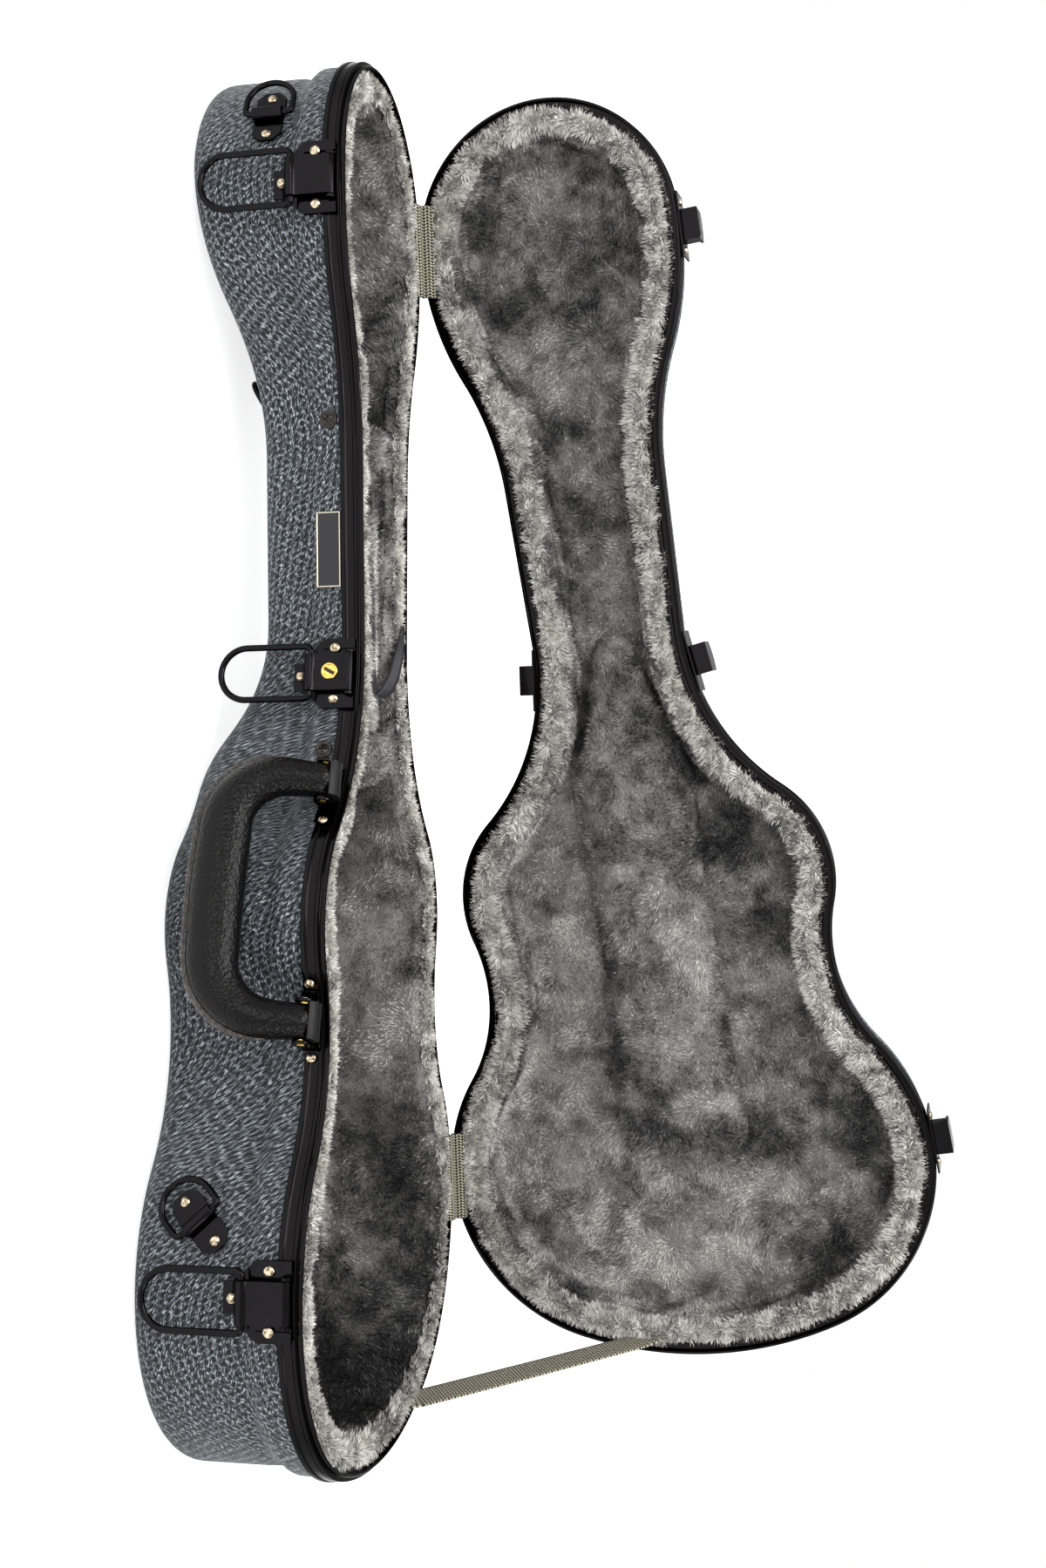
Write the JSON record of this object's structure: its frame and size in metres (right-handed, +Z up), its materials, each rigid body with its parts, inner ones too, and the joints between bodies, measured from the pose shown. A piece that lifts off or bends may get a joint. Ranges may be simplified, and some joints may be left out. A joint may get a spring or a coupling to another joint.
{
  "type": "ukulele case",
  "caption": "Hard ukulele case shaped to the instrument, with a deep padded base, a hinged padded lid, draw latches, a carrying handle and strap rings",
  "frame": {"origin": "On the flat back that the case rests on, on its centre line, 540 mm from the head end", "axes": "+X from the head to the tail, +Y from the latch side to the hinge side, +Z up through the open top of the base"},
  "size_m": [0.7246, 0.3296, 0.3707],
  "materials": {
    "tweed_shell": "woven tweed glued over a wooden shell",
    "rim": "black anodised",
    "plush": "grey plush over foam",
    "webbing": "herringbone webbing",
    "ribbon": "satin ribbon",
    "leather": "black, satin",
    "black_metal": "black lacquer",
    "brass": "polished",
    "badge": "black with a pale border"
  },
  "bodies": {
    "base": {"base_shell": "tweed_shell", "base_rim": "rim", "base_floor_padding": "plush", "base_side_padding": "plush", "head_neck_block": "plush", "body_neck_block": "plush", "badge_plate": "badge", "handle_pins": "brass", "handle_bracket_head": "black_metal", "handle_bracket_tail": "black_metal", "strap_ring_plate_head": "black_metal", "strap_ring_plate_tail": "black_metal", "strap_ring_plate_back": "black_metal", "webbing_hinge_head": "webbing", "webbing_hinge_tail": "webbing", "stay_strap": "webbing", "latch_plate_head": "black_metal", "latch_plate_middle": "black_metal", "latch_plate_lower": "black_metal", "latch_plate_back": "black_metal"},
    "lid": {"lid_shell": "tweed_shell", "lid_rim": "rim", "lid_top_padding": "plush", "lid_side_padding": "plush", "lid_bolster": "plush", "strike_head": "black_metal", "strike_middle": "black_metal", "strike_lower": "black_metal", "strike_back": "black_metal"},
    "lever_head": {"latch_lever_head": "black_metal"},
    "bail_head": {"latch_bail_head": "black_metal"},
    "lever_middle": {"latch_lever_middle": "black_metal"},
    "bail_middle": {"latch_bail_middle": "black_metal"},
    "lever_lower": {"latch_lever_lower": "black_metal"},
    "bail_lower": {"latch_bail_lower": "black_metal"},
    "lever_back": {"latch_lever_back": "black_metal"},
    "bail_back": {"latch_bail_back": "black_metal"},
    "lock": {"lock_plug": "brass"},
    "handle": {"handle_grip": "leather", "handle_end_clips": "black_metal"},
    "ring_head": {"strap_ring_head": "black_metal"},
    "ring_tail": {"strap_ring_tail": "black_metal"},
    "ring_back": {"strap_ring_back": "black_metal"},
    "compartment": {"compartment_lid": "plush", "pull_tab": "ribbon"}
  },
  "joints": [
    {"name": "lid_hinge", "type": "hinge", "parent": "base", "child": "lid", "pos_m": [-0.47554, 0.07433, 0.0802], "axis": [0.9924, 0.1233, 0], "range_deg": [0, 86], "deforming": ["webbing_hinge_head", "webbing_hinge_tail", "stay_strap"]},
    {"name": "latch_lever_head_hinge", "type": "hinge", "parent": "base", "child": "lever_head", "pos_m": [-0.45642, -0.07769, 0.077], "axis": [0.9998, 0.0217, 0], "range_deg": [-110, 0]},
    {"name": "latch_bail_head_swing", "type": "hinge", "parent": "lever_head", "child": "bail_head", "pos_m": [-0.45639, -0.07889, 0.0575], "axis": [-0.9998, -0.0217, 0], "range_deg": [-8, 178]},
    {"name": "latch_lever_middle_hinge", "type": "hinge", "parent": "base", "child": "lever_middle", "pos_m": [-0.22016, -0.04917, 0.077], "axis": [0.9902, -0.1395, 0], "range_deg": [-110, 0]},
    {"name": "latch_bail_middle_swing", "type": "hinge", "parent": "lever_middle", "child": "bail_middle", "pos_m": [-0.22033, -0.05036, 0.0575], "axis": [-0.9902, 0.1395, 0], "range_deg": [-8, 178]},
    {"name": "latch_lever_lower_hinge", "type": "hinge", "parent": "base", "child": "lever_lower", "pos_m": [0.06135, -0.14336, 0.077], "axis": [0.9989, -0.0473, 0], "range_deg": [-110, 0]},
    {"name": "latch_bail_lower_swing", "type": "hinge", "parent": "lever_lower", "child": "bail_lower", "pos_m": [0.0613, -0.14456, 0.0575], "axis": [-0.9989, 0.0473, 0], "range_deg": [-8, 178]},
    {"name": "latch_lever_back_hinge", "type": "hinge", "parent": "base", "child": "lever_back", "pos_m": [-0.22256, 0.04886, 0.077], "axis": [-0.9929, -0.1189, 0], "range_deg": [-110, 0]},
    {"name": "latch_bail_back_swing", "type": "hinge", "parent": "lever_back", "child": "bail_back", "pos_m": [-0.2227, 0.05005, 0.0575], "axis": [0.9929, 0.1189, 0], "range_deg": [-8, 178]},
    {"name": "lock_plug_turn", "type": "hinge", "parent": "lever_middle", "child": "lock", "pos_m": [-0.22054, -0.05184, 0.068], "axis": [-0.1395, -0.9902, 0], "range_deg": [0, 90]},
    {"name": "handle_swing", "type": "hinge", "parent": "base", "child": "handle", "pos_m": [-0.16693, -0.08189, 0.075], "axis": [-0.9608, 0.2772, 0], "range_deg": [0, 140]},
    {"name": "strap_ring_head_swing", "type": "hinge", "parent": "base", "child": "ring_head", "pos_m": [-0.49471, -0.06583, 0.0415], "axis": [0, 0, 1], "range_deg": [0, 150]},
    {"name": "strap_ring_tail_swing", "type": "hinge", "parent": "base", "child": "ring_tail", "pos_m": [0.03026, -0.1309, 0.0325], "axis": [-0.659, 0.2564, 0.7071], "range_deg": [0, 120]},
    {"name": "strap_ring_back_swing", "type": "hinge", "parent": "base", "child": "ring_back", "pos_m": [-0.36196, 0, 0.02209], "axis": [0, -1, 0], "range_deg": [-20, 24]},
    {"name": "compartment_lid_hinge", "type": "hinge", "parent": "base", "child": "compartment", "pos_m": [-0.26496, 0.02051, 0.071], "axis": [1, 0, 0], "range_deg": [-85, 0]}
  ]
}
